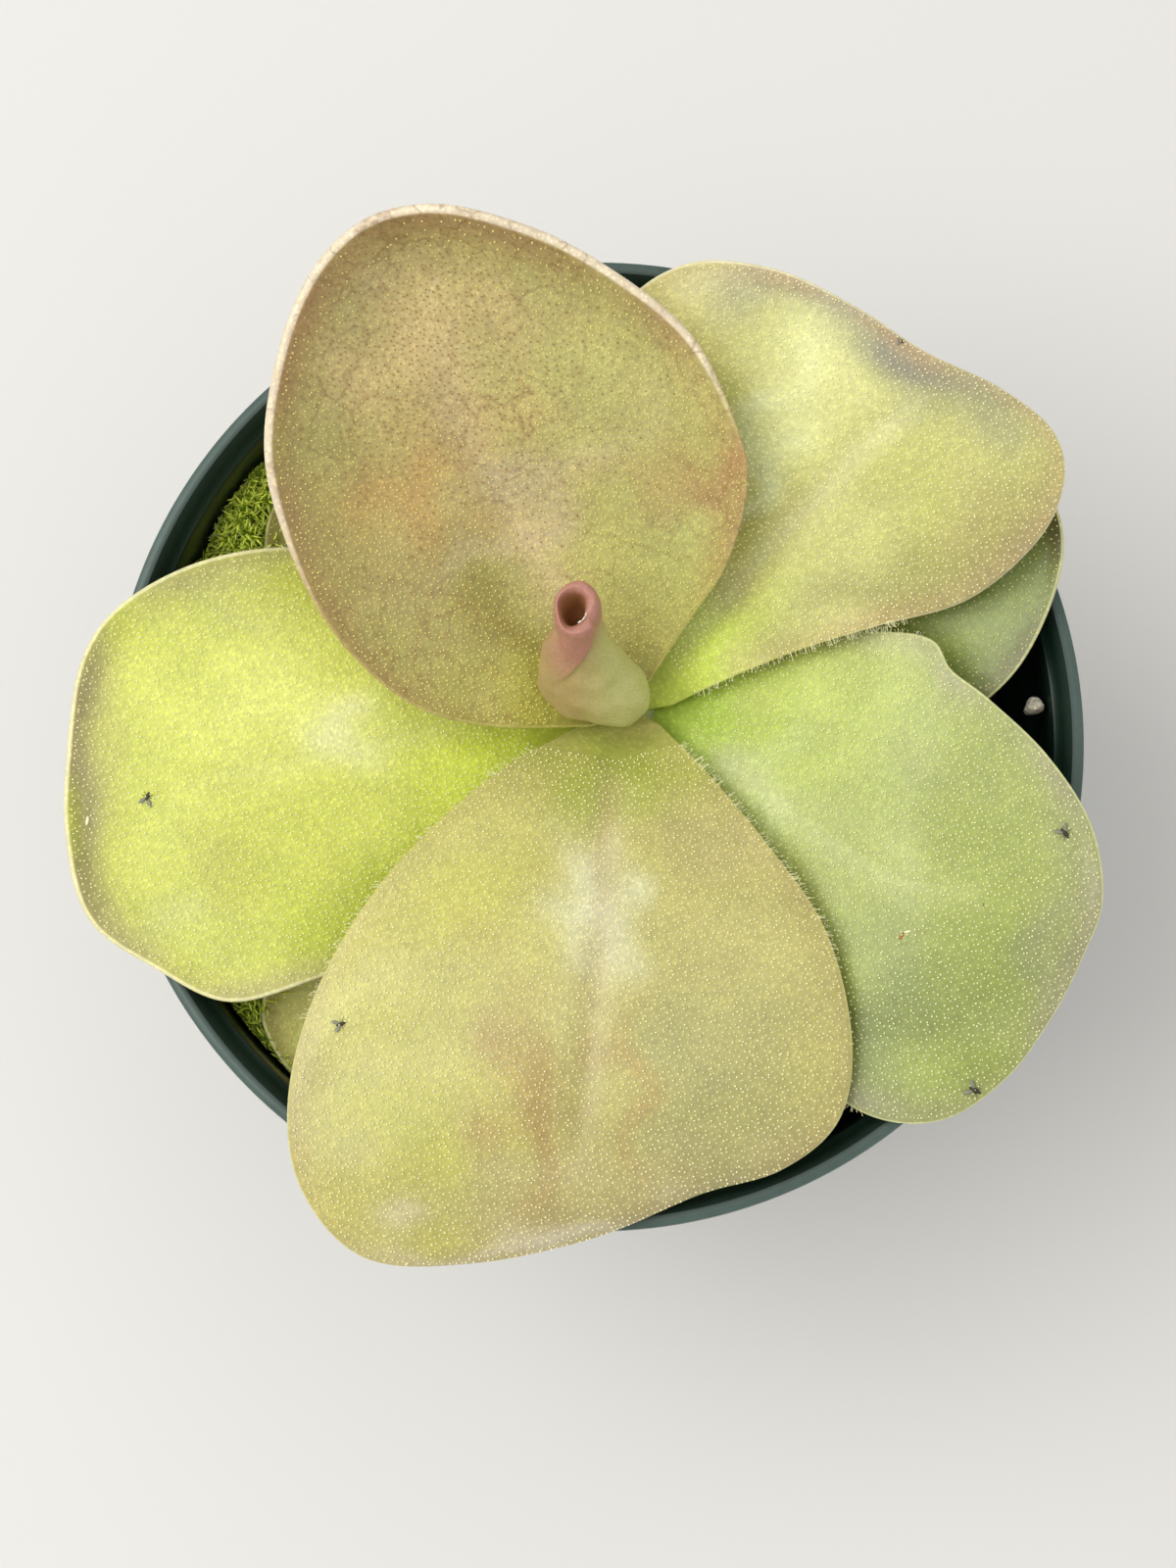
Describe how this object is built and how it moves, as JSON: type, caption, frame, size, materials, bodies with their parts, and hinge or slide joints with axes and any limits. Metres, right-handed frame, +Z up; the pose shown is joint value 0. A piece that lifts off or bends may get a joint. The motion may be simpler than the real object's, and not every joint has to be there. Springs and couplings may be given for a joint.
{
  "type": "potted butterwort",
  "caption": "Broad-leaved butterwort rosette with one rolled young leaf, growing in potting mix and moss in a small round tapered nursery pot.",
  "frame": {"origin": "centre of the pot's underside, on the surface it stands on", "axes": "+Z up through the middle of the pot; -Y towards the front leaf, +X towards the right-hand leaves"},
  "size_m": [0.0832, 0.0826, 0.0895],
  "materials": {
    "pot_plastic": "thin satin dark green plastic",
    "potting_mix": "moist dark fibrous potting mix",
    "crown_tissue": "pale green fleshy stem",
    "moss": "fine bright green moss",
    "perlite": "rough off-white puffed grain",
    "leaf_lime": "translucent lime green leaf beaded with clear sticky droplets",
    "leaf_blush": "translucent yellow-green leaf with a bronze-pink blush and sticky droplets",
    "leaf_shaded": "darker olive green leaf with a pale margin",
    "leaf_young": "young rolled leaf, pale green below and pink-mauve at the tip"
  },
  "bodies": {
    "root": {"pot": "pot_plastic", "potting_mix": "potting_mix", "crown": "crown_tissue", "upper_left_leaf": "leaf_shaded", "lower_left_leaf": "leaf_shaded", "small_right_leaf": "leaf_shaded", "rear_under_leaf": "leaf_shaded", "right_leaf": "leaf_lime", "left_leaf": "leaf_lime", "back_right_leaf": "leaf_lime", "front_leaf": "leaf_blush", "back_leaf": "leaf_blush", "curled_leaf": "leaf_young", "moss_upper_left": "moss", "moss_lower_left": "moss", "perlite_grain_1": "perlite", "perlite_grain_2": "perlite", "perlite_grain_3": "perlite", "perlite_grain_4": "perlite", "perlite_grain_5": "perlite", "perlite_grain_6": "perlite"}
  },
  "joints": []
}
